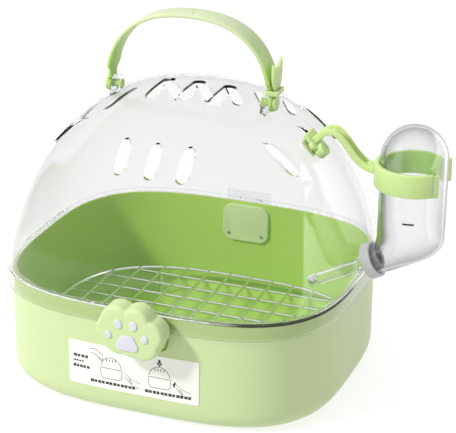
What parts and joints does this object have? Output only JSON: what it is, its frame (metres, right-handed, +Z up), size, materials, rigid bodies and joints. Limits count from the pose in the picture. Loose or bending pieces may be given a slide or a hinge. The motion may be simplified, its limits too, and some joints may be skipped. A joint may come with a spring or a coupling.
{
  "type": "small bird travel carrier",
  "caption": "Bird travel carrier: green rounded tub with a clear hinged dome, paw-shaped front latch, swinging strap handle, lift-out wire floor grid and a side drinking bottle",
  "frame": {"origin": "middle of the flat face that the tub rests on", "axes": "+Z is up, -Y is the front with the latch, +Y is the hinge side, +X is the side that the water bottle hangs on"},
  "size_m": [0.2943, 0.2384, 0.2538],
  "materials": {
    "green_shell": "smooth satin moulded plastic, light leaf green",
    "green_fitting": "smooth moulded plastic, light leaf green, a little softer than the tub",
    "clear_dome": "water-clear polished plastic",
    "clear_bottle": "water-clear polished plastic",
    "pad_plastic": "matt grey-white inlay",
    "cap_plastic": "matt grey-white moulded plastic",
    "seal_rubber": "dark moulded rubber",
    "label_paper": null,
    "grid_steel": "bright plated wire",
    "pin_steel": "turned stainless steel"
  },
  "bodies": {
    "tub": {"tub": "green_shell", "front_label": "label_paper", "latch_base": "green_shell", "latch_pin": "pin_steel", "hinge_bracket": "green_fitting", "hinge_backing_plate": "green_fitting", "hinge_screws": "pin_steel", "hinge_pin": "pin_steel"},
    "lid": {"dome": "clear_dome", "dome_hinge_leaf": "clear_dome", "dome_catch": "clear_dome", "strap_lug_left": "clear_dome", "strap_lug_right": "clear_dome", "bottle_bracket": "green_fitting", "water_bottle": "clear_bottle", "bottle_cap": "cap_plastic", "cap_seal": "seal_rubber", "nozzle_tube": "clear_bottle"},
    "latch": {"latch_arm": "green_fitting", "paw_cover": "green_fitting", "paw_toe_pads": "pad_plastic", "paw_heel_pad": "pad_plastic"},
    "handle": {"carry_strap": "green_fitting", "strap_button_left": "green_fitting", "strap_button_right": "green_fitting", "strap_keeper": "green_fitting", "strap_tail": "green_fitting"},
    "grid": {"floor_grid": "grid_steel", "grid_legs": "grid_steel"},
    "ball": {"drinking_ball": "pin_steel"}
  },
  "joints": [
    {"name": "lid_hinge", "type": "hinge", "parent": "tub", "child": "lid", "pos_m": [0, 0.11106, 0.066], "axis": [-1, 0, 0], "range_deg": [0, 100]},
    {"name": "latch_swing", "type": "hinge", "parent": "tub", "child": "latch", "pos_m": [0.002, -0.10467, 0.061], "axis": [1, 0, 0], "range_deg": [0, 45]},
    {"name": "handle_swing", "type": "hinge", "parent": "lid", "child": "handle", "pos_m": [0, -0.008, 0.19846], "axis": [1, 0, 0], "range_deg": [-64, 68]},
    {"name": "grid_lift", "type": "slide", "parent": "tub", "child": "grid", "axis": [0, 0, 1], "range_m": [0, 0.04]},
    {"name": "ball_slide", "type": "slide", "parent": "lid", "child": "ball", "axis": [0.8829, 0, 0.4695], "range_m": [0, 0.001]}
  ]
}
